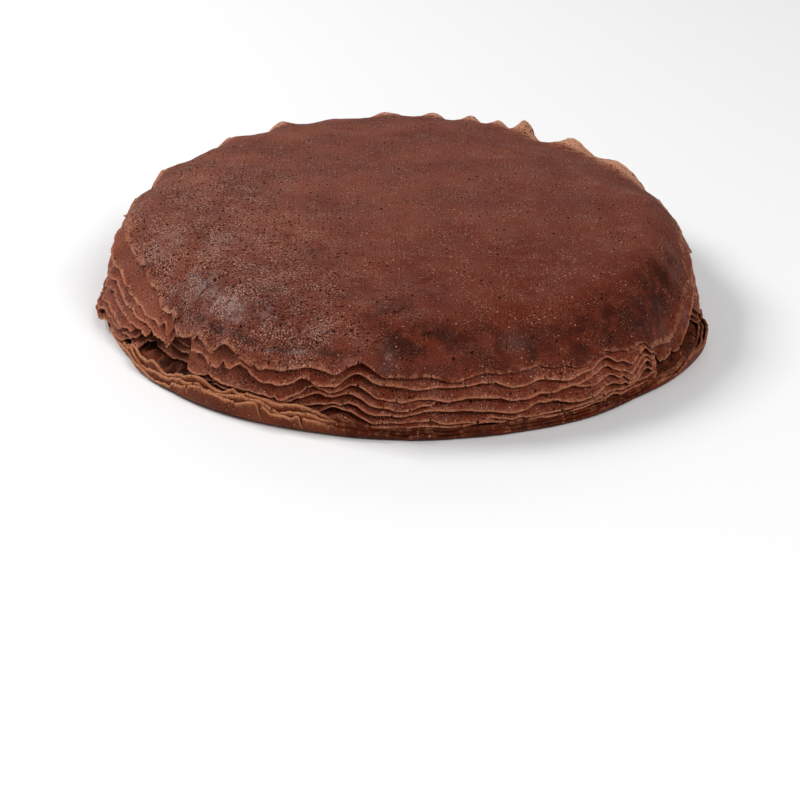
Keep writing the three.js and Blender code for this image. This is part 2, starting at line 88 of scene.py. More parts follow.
# Folds: first and last crepe, bearing on the first, drift per crepe, half width, rise on the
# first and on the last. A negative rise is a droop between two folds.
FOLDS = (
    (0, 0, 231.4, 0, 3.2, 4.4, 4.4), (1, 2, 231.4, 1.8, 3.4, 2.6, 2.2),
    (0, 0, 237.4, 0, 4.2, 5, 5), (1, 1, 241.2, 0, 3.6, 4.6, 4.6),
    (1, 6, 253.6, 1.1, 2.8, 2.4, 1.5), (0, 6, 263.2, -0.5, 4.4, 5.8, 2.2),
    (0, 0, 260.3, 0, 2.4, 1.6, 1.6), (2, 6, 269.5, 0, 3, -1.2, -0.8),
    (0, 6, 275.3, -0.1, 4, 0.8, 1.2), (0, 6, 283.8, -0.1, 4, 0.8, 0.6),
    (0, 6, 289, 0.4, 3.2, -1.2, -1.3), (0, 6, 294.6, -0.1, 2.8, 1.2, 0.6),
    (0, 0, 303, 0, 6, -2.2, -2.2), (0, 0, 307.6, 0, 3.2, 1.6, 1.6),
    (1, 6, 308.3, 0.4, 3.6, 3.8, 2), (0, 6, 314.8, 0.3, 2.8, -1.5, -3),
    (0, 0, 318, 0, 3.2, 1.6, 1.6), (1, 6, 318.6, 0.4, 3.4, 4.4, 3.4),
    (1, 1, 326.5, 0, 5, -7, -7), (1, 1, 331.5, 0, 5, -6.8, -6.8), (1, 1, 336, 0, 4.6, -9, -9),
    (1, 1, 340.5, 0, 4.5, -8, -8), (1, 1, 205, 0, 16, -2, -2), (0, 0, 22.5, 0, 5, -4, -4),
    (0, 0, 38, 0, 11, 2.4, 2.4), (0, 0, 51, 0, 6.5, 4.6, 4.6), (0, 0, 63.5, 0, 4.2, 6.2, 6.2),
    (0, 0, 69.5, 0, 4.6, 5.6, 5.6), (0, 0, 76, 0, 5.4, 5.4, 5.4), (0, 0, 85, 0, 6.5, 5.2, 5.2),
    (0, 0, 94, 0, 8, 5.4, 5.4), (0, 0, 107, 0, 8, 3.6, 3.6), (0, 0, 119.5, 0, 6, 6, 6),
    (0, 0, 132.5, 0, 8, 3.8, 3.8), (0, 0, 155, 0, 5, 4.5, 4.5), (0, 0, 164, 0, 6, -5.5, -5.5),
    (0, 0, 177, 0, 8, -3.5, -3.5),
)
FOLD_START = 0.3                   # share of the skirt's width where a fold begins to rise
FOLD_POWER = (1.8, 4.5)            # how late it rises: at the back, at the front
SHARP_FOLDS = (246.0, 345.0)       # the front's folds rise late from bearing to bearing
SHARP_FADE = 15.0

# At the back right the top crepe sinks inside its turned-up border.
DIP = (24.0, 58.0)                 # from bearing, to bearing
DIP_FADE = 14.0
DIP_RADII = (70.0, 93.0)
DIP_DEPTH = 2.6

# A tear runs down through every crepe but the top one, wider towards the bottom.
TEAR_STARTS = (228.0, 223.0, 223.5, 217.0, 212.0, 213.0, 213.5)
TEAR_ENDS = (228.0, 226.6, 226.8, 229.5, 231.5, 233.0, 233.5)
TEAR_DEPTH = 6.5
TEAR_FADE = 2.2

# At the right, the crepes under the second one are tucked in.
TUCK_FIRST_CREPE = 2
TUCK = (326.0, 345.0)              # from bearing, to bearing
TUCK_DEPTH = 5.4
TUCK_FADE = 3.0

# At the front, one crepe is shorter than the one over it, and one hangs lower: crepe, from, to,
# depth or drop.
SHORT_CREPES = ((3, 279.0, 299.0, 4.5),)
HANGING_CREPES = ((5, 267.0, 322.0, 2.2),)
STRETCH_FADE = 4.0

# At the left, the lowest draped crepes hang out over the rims of the base crepes.
OVERHANG = (166.0, 205.0)
OVERHANG_FADE = 4.0
OVERHANG_REACH = 8.0
RIM_CLEARANCE = 0.2
RIM_APPROACH = 2.0                 # they begin to climb this far inside the rims

# Elsewhere a crepe stays inside the rims unless it hangs this far above them.
SHEET_DROP = 1.7                   # a crepe's thickness near its edge, measured straight down
INSIDE_REACH = 0.2
CLEAR_OF_RIM = (0.4, 1.4)

# Fine waves of the edges, (waves per turn, size, phase step per crepe).
HEIGHT_WAVES = ((23, 0.3, 2.1), (41, 0.2, 3.7))
RADIUS_WAVES = ((7, 0.3, 2.0), (17, 0.3, 1.1))

RIM_PITCH = 1.2                    # crepe to crepe where the rims nest
RIM_SHEET = 0.9
RIM_BEND = 4.5                     # outer radius of the bend from the floor into the rim
RIM_LEAN = 75.0                    # steepest slope of the rim, degrees
FLOOR_RADIUS = (
    (0, 107.2), (25, 108.4), (90, 110.5), (180, 110), (197, 110), (204, 110.3), (211, 111),
    (217, 113), (221, 113.8), (228, 113), (270, 112.6), (315, 112.2), (327, 113.6), (338, 114),
    (345, 112.8), (352, 109.6),
)
# Bearing, height of the outermost rim, of the innermost one.
RIM_HEIGHT = (
    (0, 4.5, 4.5), (20, 3.6, 4), (90, 3.8, 4.2), (160, 3.4, 4), (180, 2.6, 3.9), (203, 3, 3.9),
    (208, 3.2, 4), (214, 3.4, 7.4), (218, 2.6, 6.4), (221.5, 2.8, 8.4), (224, 3.2, 5.4),
    (229, 5.4, 9.2), (234, 8.6, 11.2), (237.5, 7.6, 8.2), (241, 7.2, 11.4), (245, 8.5, 11),
    (249, 6.2, 8.8), (253, 6.2, 9.8), (258, 5, 7), (262, 4.6, 6.6), (265, 3.2, 4),
    (270, 1.4, 3.9), (275, 3.9, 4.4), (278, 1.9, 3.9), (285, 3.7, 4.3), (292, 1.7, 3.9),
    (298, 2.2, 3.9), (304.5, 1.7, 3.9), (309.5, 4, 4.6), (315, 1.9, 3.9), (320, 4, 4.4),
    (326, 3.4, 4.6), (332, 7.4, 5), (338, 6.4, 4.4), (345, 6, 4.4), (352, 4.4, 4.2),
)
RIM_LIP = 0.6                      # least height of a rim above its own floor
RIM_WAVES = ((19, 0.2, 2.4), (37, 0.2, 1.7))
FLOOR_WAVES = ((11, 0.3, 0.0), (5, 0.2, 0.0))


def smoothstep(x, low, high):
    t = np.clip((x - low) / (high - low), 0.0, 1.0)
    return t * t * (3.0 - 2.0 * t)


def lerp(a, b, t):
    return a + (b - a) * t


def turn_difference(a, b):
    return (a - b + 180.0) % 360.0 - 180.0


def crest(x):
    """A smooth hump from -1 to 1."""
    return 0.5 + 0.5 * np.cos(np.pi * np.minimum(np.abs(x), 1.0))


def station_value(stations, column, bearing):
    """The value in one column of a table of stations round the turn, joined smoothly."""
    at = np.array([s[0] for s in stations] + [stations[0][0] + 360.0], float)
    value = np.array([s[column] for s in stations] + [stations[0][column]], float)
    turn = (bearing - at[0]) % 360.0 + at[0]
    k = np.clip(np.searchsorted(at, turn, side="right") - 1, 0, len(at) - 2)
    return lerp(value[k], value[k + 1], smoothstep(turn, at[k], at[k + 1]))


def wave_sum(waves, crepe, bearing):
    angle = np.radians(bearing)
    return sum(size * np.sin(count * angle + phase * crepe) for count, size, phase in waves)


def floor_radius(bearing):
    return station_value(FLOOR_RADIUS, 1, bearing) + wave_sum(FLOOR_WAVES, 0, bearing)


def rim_height(base, bearing):
    outer = station_value(RIM_HEIGHT, 1, bearing)
    inner = station_value(RIM_HEIGHT, 2, bearing)
    wanted = lerp(outer, inner, base / (BASE_CREPES - 1)) + wave_sum(RIM_WAVES, base, bearing)
    return np.maximum(wanted, base * RIM_PITCH + RIM_SHEET + RIM_LIP)


def share(crepe):
    """0 for the top crepe, 1 for the lowest draped one."""
    return crepe / (DRAPED_CREPES - 1)


def between(bearing, start, end, fade):
    """1 from start to end, falling smoothly to 0 over `fade` degrees outside them."""
    begun = smoothstep(turn_difference(bearing, start), -fade, 0.0)
    return begun * (1.0 - smoothstep(turn_difference(bearing, end), 0.0, fade))


def stretch_sum(stretches, crepe, bearing):
    """Sum over a crepe's stretches of the edge: crepe, from bearing, to bearing, size."""
    own = [stretch[1:] for stretch in stretches if stretch[0] == crepe]
    return sum(size * between(bearing, start, end, STRETCH_FADE) for start, end, size in own)


def shortfall(crepe, bearing):
    """How far a crepe's edge is torn, tucked in or short."""
    if crepe == 0:
        return 0.0 * bearing
    short = TEAR_DEPTH * between(bearing, TEAR_STARTS[crepe], TEAR_ENDS[crepe], TEAR_FADE)
    if crepe >= TUCK_FIRST_CREPE:
        short = short + TUCK_DEPTH * between(bearing, *TUCK, TUCK_FADE)
    return short + stretch_sum(SHORT_CREPES, crepe, bearing)


def fold_rise(crepe, bearing):
    rise = 0.0 * bearing
    for first, last, at, drift, half, first_rise, last_rise in FOLDS:
        if first <= crepe <= last:
            down = crepe - first
            size = lerp(first_rise, last_rise, down / max(last - first, 1))
            rise = rise + size * crest(turn_difference(bearing, at + drift * down) / half)
    return rise


def hem_height(crepe, bearing):
    top_share = (1.0 - share(crepe)) ** HEM_POWER
    top, low = (station_value(HEM, column, bearing) for column in (1, 2))
    hem = EDGE_HEIGHTS[crepe] + lerp(low, top, top_share) + wave_sum(HEIGHT_WAVES, crepe, bearing)
    return hem - stretch_sum(HANGING_CREPES, crepe, bearing)


def stack_floor(radius, bearing):
    """Top of the base crepes, with their rims where the draped ones hang over them."""
    floor = floor_radius(bearing)
    inner = BASE_CREPES * LAYER_PITCH - LAYER_GAP
    outer = (BASE_CREPES - 1) * RIM_PITCH + RIM_SHEET
    out = np.clip((radius - SHOULDER_RADIUS) / (floor - SHOULDER_RADIUS), 0.0, 1.0)
    rim_top = rim_height(0, bearing)
    for base in range(1, BASE_CREPES):
        rim_top = np.maximum(rim_top, rim_height(base, bearing))
    hanging = between(bearing, *OVERHANG, 2.0 * OVERHANG_FADE)
    over = hanging * smoothstep(radius, floor - RIM_APPROACH, floor)
    return lerp(lerp(inner, outer, out), rim_top + RIM_CLEARANCE, over)


def nominal_edge(crepe, bearing):
    top, low = (station_value(EDGE_RADIUS, column, bearing) for column in (1, 2))
    return lerp(top, low, share(crepe) ** EDGE_SPREAD_POWER)


def dome(crepe, across):
    fall = lerp(DOME_FALL[0], DOME_FALL[1], share(crepe))
    return TOP_CENTRE - LAYER_PITCH * crepe - fall * (across / SHOULDER_RADIUS) ** DOME_POWER


def free_top(crepe, radius, bearing):
    """A crepe's top as it would hang with nothing under it."""
    sideways = 0.5 + 0.5 * np.cos(2.0 * np.radians(bearing))
    stretch = 1.0 + OVALITY * (1.0 - share(crepe)) * sideways
    edge = nominal_edge(crepe, bearing)
    skirt = np.maximum(radius * stretch - SHOULDER_RADIUS, 0.0) / (edge * stretch - SHOULDER_RADIUS)
    fall = dome(crepe, edge * stretch) - hem_height(crepe, bearing)
    power = lerp(*FOLD_POWER, between(bearing, *SHARP_FOLDS, SHARP_FADE))
    flared = np.clip((skirt - FOLD_START) / (1.0 - FOLD_START), 0.0, 1.0) ** power
    dipped = 0.0
    if crepe == 0:
        sunk = DIP_DEPTH * between(bearing, *DIP, DIP_FADE)
        dipped = sunk * (flared - smoothstep(radius, *DIP_RADII))
    folded = fold_rise(crepe, bearing) * flared
    return dome(crepe, radius * stretch) - fall * skirt ** SKIRT_POWER + folded + dipped


def torn_edge(crepe, bearing):
    waves = wave_sum(RADIUS_WAVES, crepe, bearing)
    return nominal_edge(crepe, bearing) - shortfall(crepe, bearing) + waves


def draped_faces(crepe, radius, bearing):
    """What a crepe lies on, and its top: crepes are laid one on the other from the lowest up."""
    under = stack_floor(radius, bearing) + LAYER_GAP
    for number in range(DRAPED_CREPES - 1, crepe - 1, -1):
        top = np.maximum(free_top(number, radius, bearing), under + SHEET_MINIMUM)
        if number > crepe:
            bare = smoothstep(radius - torn_edge(number, bearing), *SUPPORT_END)
            under = lerp(top + LAYER_GAP, under, bare)
    return under, top


def support(crepe, radius, bearing):
    return draped_faces(crepe, radius, bearing)[0]


def draped_top(crepe, radius, bearing):
    return draped_faces(crepe, radius, bearing)[1]


def edge_radius(crepe, bearing):
    """A crepe low enough to meet the rims stays inside them, apart from where it hangs over."""
    wanted = torn_edge(crepe, bearing)
    bottom = draped_top(crepe, wanted, bearing) - SHEET_DROP
    clear = smoothstep(bottom - rim_height(BASE_CREPES - 1, bearing), *CLEAR_OF_RIM)
    over = between(bearing, *OVERHANG, OVERHANG_FADE)
    reach = INSIDE_REACH + OVERHANG_REACH * np.maximum(clear, over)
    return np.minimum(wanted, floor_radius(bearing) + reach)


# ---------- Fine shape, made here only ----------

FRONT = (160.0, 370.0)             # the side that shows most has finer columns
FRONT_COLUMNS = 820
BACK_COLUMNS = 260
BEARINGS = np.concatenate([
    np.linspace(FRONT[0], FRONT[1], FRONT_COLUMNS, endpoint=False),
    np.linspace(FRONT[1], FRONT[0] + 360.0, BACK_COLUMNS, endpoint=False),
])
COLUMNS = len(BEARINGS)
CLEARANCE = 0.3                    # the fine model stays this far inside the facets
SKIN_SHIFT = 300.0                 # so that no two crepes have the same grain

# Noises round a turn: (seed, waves per turn, size). A crepe's number is added to the seed.
FINE_EDGE = (100, 620, 0.16)
COARSE_EDGE = (200, 150, 0.4)
EDGE_NICKS = (300, 260, 3.0)
SHARED_FRILL = (399, 90, 0.3)      # the same on every crepe
OWN_FRILL = (400, 90, 0.35)
FINE_FRILL = (500, 200, 0.2)
FINE_LIP = (640, 420, 0.35)
COARSE_LIP = (600, 110, 0.55)
LIP_NICKS = (660, 240, 3.5)
SHARED_CREASE = (820, 70, 0.35)    # the same on every base crepe
OWN_CRUMPLE = (830, 150, 0.3)
NICK_LEVEL = 0.7                   # nicks are where their noise is above this share of its size

# Noises over the plane: (seed, wavelength, size).
SHARED_SWELL = (720, 24.0, 0.12)   # the same on every crepe
OWN_PUCKER = (700, 5.0, 0.06)
LEFT_SWELL = (730, 9.0, 0.16)
FLOOR_CRUMPLE = (850, 5.0, 1.3)    # the top of the innermost base crepe near its rim
PLANE_WAVES = 24
WAVE_SPREAD = (0.7, 1.4)           # their shortest and longest, as shares of the wavelength

EDGE_INSET = 0.3                   # a ragged edge lies about this far inside the smooth one
CALM_FRONT = (256.0, 318.0)        # the edges are less ragged here
CALM_FADE = 14.0
CALM_SHARE = 0.65                  # of the raggedness that is lost there
FLAP = (323.0, 342.0)              # the second crepe hangs steeply here, with a more even edge
FLAP_FADE = 4.0
FLAP_SHARE = 0.7

FRILL_WIDTH = 7.0                  # frills are on this much of the edge
PUCKER_RADII = (80.0, 98.0)        # puckers set in between these
LEFT_FRONT = (200.0, 262.0)        # here the top crepe's border has swells of its own
LEFT_FRONT_FADE = 30.0
LEFT_FRONT_RADII = (50.0, 90.0)

# Creases of the top crepe: from (x, y), to (x, y), half width, depth.
CREASES = (
    ((-73, -74), (-66.5, -70), 1.5, 0.9), ((-66.5, -70), (-60, -66.5), 1.4, 0.7),
    ((-82, -60), (-78, -52), 1.6, 0.5), ((-47, -88), (-36, -93), 2, 0.4),
)
GROOVE = (227.0, 262.0)            # a shallow groove runs along its border from bearing to bearing
GROOVE_FADE = 4.0
GROOVE_INSET = 3.6                 # inside the edge
GROOVE_HALF = 1.5
GROOVE_DEPTH = 1.0


def ring_noise(noise, crepe, bearing):
    """A smooth periodic curve through seeded random values."""
    seed, waves, size = noise
    values = np.random.default_rng(seed + crepe).uniform(-1.0, 1.0, waves)
    at = (bearing % 360.0) / 360.0 * waves
    k = np.floor(at).astype(int)
    t = at - k
    before, here, after, beyond = (values[(k + step) % waves] for step in (-1, 0, 1, 2))
    bend = 2.0 * before - 5.0 * here + 4.0 * after - beyond
    twist = 3.0 * (here - after) + beyond - before
    return size * (here + 0.5 * t * (after - before + t * (bend + t * twist)))


def nicks(noise, crepe, bearing):
    """Depth of the notches where a ring noise is highest."""
    size = noise[2]
    return np.maximum(ring_noise(noise, crepe, bearing) - NICK_LEVEL * size, 0.0)


def plane_noise(noise, crepe, x, y):
    """A smooth noise over the plane: seeded random waves of nearly one length."""
    seed, wavelength, size = noise
    rng = np.random.default_rng(seed + crepe)
    heading = rng.uniform(0.0, 2.0 * np.pi, PLANE_WAVES)
    number = 2.0 * np.pi / (wavelength * rng.uniform(*WAVE_SPREAD, PLANE_WAVES))
    phase = rng.uniform(0.0, 2.0 * np.pi, PLANE_WAVES)
    total = np.zeros(np.broadcast(x, y).shape)
    for h, n, p in zip(heading, number, phase):
        total += np.sin(n * (x * np.cos(h) + y * np.sin(h)) + p)
    return size * math.sqrt(2.0 / PLANE_WAVES) * total


def plan(radius, bearing):
    angle = np.radians(bearing)
    return radius * np.cos(angle), radius * np.sin(angle)


def wildness(crepe, bearing):
    """How ragged an edge is: less at the front, and least along the second crepe's flap."""
    wild = 1.0 - CALM_SHARE * between(bearing, *CALM_FRONT, CALM_FADE)
    if crepe == 1:
        wild = wild * (1.0 - FLAP_SHARE * between(bearing, *FLAP, FLAP_FADE))
    return wild


def ragged_edge(crepe, bearing):
    """How far a torn, uneven edge lies outside the smooth one: mostly less than nothing."""
    rough = ring_noise(FINE_EDGE, crepe, bearing) + ring_noise(COARSE_EDGE, crepe, bearing)
    return (rough - nicks(EDGE_NICKS, crepe, bearing)) * wildness(crepe, bearing) - EDGE_INSET


def frill(crepe, bearing):
    """Small ripples that only the outermost millimetres have."""
    own = ring_noise(OWN_FRILL, crepe, bearing) + ring_noise(FINE_FRILL, crepe, bearing)
    return (ring_noise(SHARED_FRILL, 0, bearing) + own) * wildness(crepe, bearing)


def groove(edge, radius, bearing):
    across = crest((edge - GROOVE_INSET - radius) / GROOVE_HALF)
    return across * between(bearing, *GROOVE, GROOVE_FADE)


def crease_depth(x, y):
    depth = 0.0 * x
    for start, end, half, deep in CREASES:
        dx, dy = end[0] - start[0], end[1] - start[1]
        along = np.clip(((x - start[0]) * dx + (y - start[1]) * dy) / (dx * dx + dy * dy), 0.0, 1.0)
        away = np.hypot(x - start[0] - along * dx, y - start[1] - along * dy)
        depth = np.maximum(depth, deep * crest(away / half))
    return depth


def draped_surface(crepe, radius, bearing, edge):
    """The fine top face: the shared shape, lowered a little, with swells, frills and creases."""
    x, y = plan(radius, bearing)
    height = draped_top(crepe, radius, bearing) - CLEARANCE
    height = height + plane_noise(SHARED_SWELL, 0, x, y)
    height = height + frill(crepe, bearing) * smoothstep(radius, edge - FRILL_WIDTH, edge)
    height = height + plane_noise(OWN_PUCKER, crepe, x, y) * smoothstep(radius, *PUCKER_RADII)
    if crepe == 0:
        left_front = between(bearing, *LEFT_FRONT, LEFT_FRONT_FADE)
        left_front = left_front * smoothstep(radius, *LEFT_FRONT_RADII)
        height = height + plane_noise(LEFT_SWELL, 0, x, y) * left_front
        height = height - crease_depth(x, y)
        height = height - GROOVE_DEPTH * groove(edge, radius, bearing)
    return height


# ---------- Meshes ----------

def polar(radius, height):
    """One ring of points, a column at each bearing."""
    x, y = plan(radius, BEARINGS)
    return np.stack([x, y, height + 0.0 * x], -1)


def skin_places(rings, shift):
    """Places on the crepe as if it lay flat, so that its grain isn't stretched."""
    out = np.hypot(rings[..., 0], rings[..., 1])
    steps = np.hypot(np.diff(out, axis=0), np.diff(rings[..., 2], axis=0))
    from_top = np.concatenate([np.zeros((1, COLUMNS)), np.cumsum(steps, axis=0)])
    from_bottom = from_top[-1] - from_top
    travel = np.minimum(from_top, from_bottom)
    x, y = plan(travel, BEARINGS)
    return np.stack([x + shift, y, 0.0 * travel], -1)


def quads_and_fans(rows):
    """Quads that join `rows` rings of points, and a fan to a point beyond the first and the last."""
    k = np.arange(COLUMNS)
    n = (k + 1) % COLUMNS
    upper = COLUMNS * np.arange(rows - 1)[:, None]
    lower = upper + COLUMNS
    quads = np.stack([upper + k, lower + k, lower + n, upper + n], -1).reshape(-1, 4)
    last_row = COLUMNS * (rows - 1)
    first_point = np.full(COLUMNS, COLUMNS * rows)
    last_point = first_point + 1
    fans = np.concatenate([
        np.stack([first_point, k, n], 1),
        np.stack([last_point, last_row + n, last_row + k], 1),
    ])
    return quads, fans


def add_object(name, data):
    thing = bpy.data.objects.new(name, data)
    bpy.context.scene.collection.objects.link(thing)
    return thing


def set_attribute(mesh, label, kind, field, values):
    layer = mesh.attributes.new(label, kind, "POINT")
    layer.data.foreach_set(field, values.astype(np.float32).ravel())


def grid_mesh(name, rings, attributes, shift):
    """A closed mesh from rings of columns. The first and last ring are drawn together to a point."""
    points = np.array(rings)
    ends = np.stack([points[0].mean(0), points[-1].mean(0)])
    verts = np.concatenate([points[1:-1].reshape(-1, 3), ends]) * MM
    quads, fans = quads_and_fans(len(rings) - 2)
    loops = np.concatenate([quads.ravel(), fans.ravel()])
    starts = np.concatenate([np.arange(len(quads)) * 4, quads.size + np.arange(len(fans)) * 3])
    mesh = bpy.data.meshes.new(name)
    mesh.vertices.add(len(verts))
    mesh.vertices.foreach_set("co", verts.astype(np.float32).ravel())
    mesh.loops.add(len(loops))
    mesh.loops.foreach_set("vertex_index", loops.astype(np.int32))
    mesh.polygons.add(len(starts))
    mesh.polygons.foreach_set("loop_start", starts.astype(np.int32))
    mesh.update(calc_edges=True)
    mesh.polygons.foreach_set("use_smooth", np.ones(len(starts), bool))
    for label, values in attributes.items():
        grid = np.array(values)
        flat = np.concatenate([grid[1:-1].ravel(), [grid[0].mean(), grid[-1].mean()]])
        set_attribute(mesh, label, "FLOAT", "value", flat)
    skin = skin_places(points, shift)
    skin = np.concatenate([skin[1:-1].reshape(-1, 3), skin[0, :1], skin[-1, :1]])
    set_attribute(mesh, "skin", "FLOAT_VECTOR", "vector", skin)
    return add_object(name, mesh)


# ---------- Draped crepes ----------

SHEET = 0.75                       # a crepe's own thickness
SHEET_TIP = 0.45                   # the same at its very edge
TIP_WIDTH = 2.0                    # it thins over this width
TIP_BULGE = 0.4                    # its very edge bulges by this share of the thickness there
UNDER_START = 95.0                 # inside this the underside rests on the next crepe
UNDER_FREE = 102.0                 # outside this it hangs free
UNDER_INSET = 2.0                  # the resting part begins with a ring this far inside UNDER_START
CURL_STEP = 0.28                   # the edge's last rings curl outwards in steps of this length
CURL_TURNS = (12.0, 22.0, 30.0)    # and of these slopes, in degrees

TOP_INNER_RINGS = np.linspace(0.0, 88.0, 30)
HIDDEN_INNER_RINGS = np.array([0.0, 50.0, 88.0])
TOP_OUTER_RINGS = 32
HIDDEN_OUTER_RINGS = 20
OUTER_RING_POWER = 0.75            # the outer rings lie closer together towards the edge
UNDER_STRIDE = 2                   # the underside uses every second ring of the top

# Where the top crepe is darker, glossier or full of pores: bearing, radius, size, strength.
DARK_SPOTS = (
    (240, 93, 6, 0.6), (245, 96, 6, 0.6), (251, 93, 6, 0.6), (226.5, 97, 4, 0.7),
    (237, 57, 5, 0.7), (257, 81, 7, 0.5), (265.5, 93, 8, 0.8), (276, 72, 8, 0.4),
    (274, 86, 10, 0.5), (269.5, 106, 7, 1), (274, 106, 7, 1), (279, 105, 6, 0.9),
    (286, 106, 6.5, 1), (293.5, 108, 6, 1), (299, 106, 5, 0.6), (304, 108, 6, 0.9),
    (309.5, 106, 6, 1), (314, 104, 6, 0.8), (319.5, 107, 6, 1), (325, 105, 6, 0.9),
    (330, 103, 7, 1), (336, 102, 6.5, 0.9), (343, 102, 5, 0.8),
)
WET_SPOTS = (
    (204, 93, 8, 0.8), (214, 76, 9, 0.6), (220.5, 101, 7, 1), (227, 101, 7, 1),
    (234, 103, 7, 1), (240, 103, 6, 1), (245, 104, 6, 1), (251.5, 105.5, 5.5, 1),
    (257, 106.5, 5.5, 1), (261.5, 107, 4.5, 0.9), (267.5, 109, 3, 1), (232, 84, 10, 0.3),
    (240, 89, 8, 0.3), (291, 104, 4, 0.6),
)
PORE_SPOTS = (
    (225, 86, 34, 1), (200, 90, 28, 1), (250, 99, 20, 0.8), (178, 78, 32, 0.8),
)
PORE_SHARE = 0.14                  # of the pores, away from those spots
LOWER_SPOTS = (0.1, 0.1, 0.4)      # darkness, gloss and porosity of the other draped crepes

# The top crepe's paler border: bearing, width, strength.
BORDER = (
    (0, 4, 0.7), (22, 10, 0.9), (38, 14, 1), (60, 14, 1), (75, 11, 1), (110, 9, 0.9),
    (150, 7, 0.8), (180, 5, 0.65), (205, 3.5, 0.6), (228, 3.5, 0.7), (252, 3, 0.6),
    (262, 1.6, 0.5), (300, 1.2, 0.45), (318, 1.6, 0.6), (328, 3, 0.7), (338, 3, 0.6),
    (348, 2, 0.5),
)
LOWER_BORDER = (1.2, 0.75)         # width and strength of the others' borders
BORDER_FULL = 1.5                  # the border is fully pale over the outer third of its width

# The crepes are browner towards the front and the right. The top crepe's paler, greyer left and back
# are painted sheen of the light behind it.
BROWN_X = (-85.0, 60.0)            # the top crepe browns over this stretch of X
BROWN_Y = (15.0, -75.0)            # and over this stretch of Y
BROWN_EDGES = (252.0, 348.0)       # the others' edges are brown from bearing to bearing
BROWN_FADE = 16.0


def blobs(places, radius, bearing):
    """Sum of soft round spots."""
    x, y = plan(radius, bearing)
    total = 0.0 * x
    for at, out, size, strength in places:
        cx, cy = plan(out, at)
        total = total + strength * np.exp(-((x - cx) ** 2 + (y - cy) ** 2) / size ** 2)
    return total


def draped_spots(crepe, radius):
    """Darkness, gloss and porosity along a ring."""
    if crepe > 0:
        return 0.0 * radius + np.array(LOWER_SPOTS)[:, None]
    # The groove is painted darker too: painted shade in it.
    dark = blobs(DARK_SPOTS, radius, BEARINGS) + groove(edge_radius(0, BEARINGS), radius, BEARINGS)
    wet = blobs(WET_SPOTS, radius, BEARINGS)
    porous = PORE_SHARE + blobs(PORE_SPOTS, radius, BEARINGS)
    return np.clip(np.stack([dark, wet, porous]), 0.0, 1.0)


def brownness(crepe, radius):
    if crepe > 0:
        return between(BEARINGS, *BROWN_EDGES, BROWN_FADE) + 0.0 * radius
    # The top crepe is least brown at the left and the back, where its greyed tones are painted
    # sheen.
    x, y = plan(radius, BEARINGS)
    return 0.5 * (smoothstep(x, *BROWN_X) + smoothstep(y, *BROWN_Y))


def paleness(crepe, away):
    """Greatest at the very edge, falling to 0 at the border's width."""
    width, strength = LOWER_BORDER
    if crepe == 0:
        width, strength = (station_value(BORDER, column, BEARINGS) for column in (1, 2))
    return strength * np.clip(BORDER_FULL * (1.0 - away / width), 0.0, 1.0)


def draped_profile(crepe):
    """Radii and heights of the top face's rings, from the middle out to the curled edge."""
    edge = edge_radius(crepe, BEARINGS) + ragged_edge(crepe, BEARINGS)
    inner = TOP_INNER_RINGS if crepe == 0 else HIDDEN_INNER_RINGS
    outer_count = TOP_OUTER_RINGS if crepe == 0 else HIDDEN_OUTER_RINGS
    outer = (np.arange(1, outer_count) / (outer_count - 1)) ** OUTER_RING_POWER
    radii = [r + 0.0 * edge for r in inner] + [lerp(inner[-1], edge, f) for f in outer]
    heights = [draped_surface(crepe, r, BEARINGS, edge) for r in radii]
    slope = np.arctan2(heights[-1] - heights[-2], radii[-1] - radii[-2])
    for turn in CURL_TURNS:
        leaning = slope + math.radians(turn)
        radii.append(radii[-1] + CURL_STEP * np.cos(leaning))
        heights.append(heights[-1] + CURL_STEP * np.sin(leaning))
    return np.array(radii), np.array(heights)


def distance_from_edge(radii, heights):
    """How far each ring lies from the edge, measured along the crepe."""
    away = np.zeros_like(radii)
    steps = np.hypot(np.diff(radii, axis=0), np.diff(heights, axis=0))
    away[:-1] = np.cumsum(steps[::-1], axis=0)[::-1]
    return away


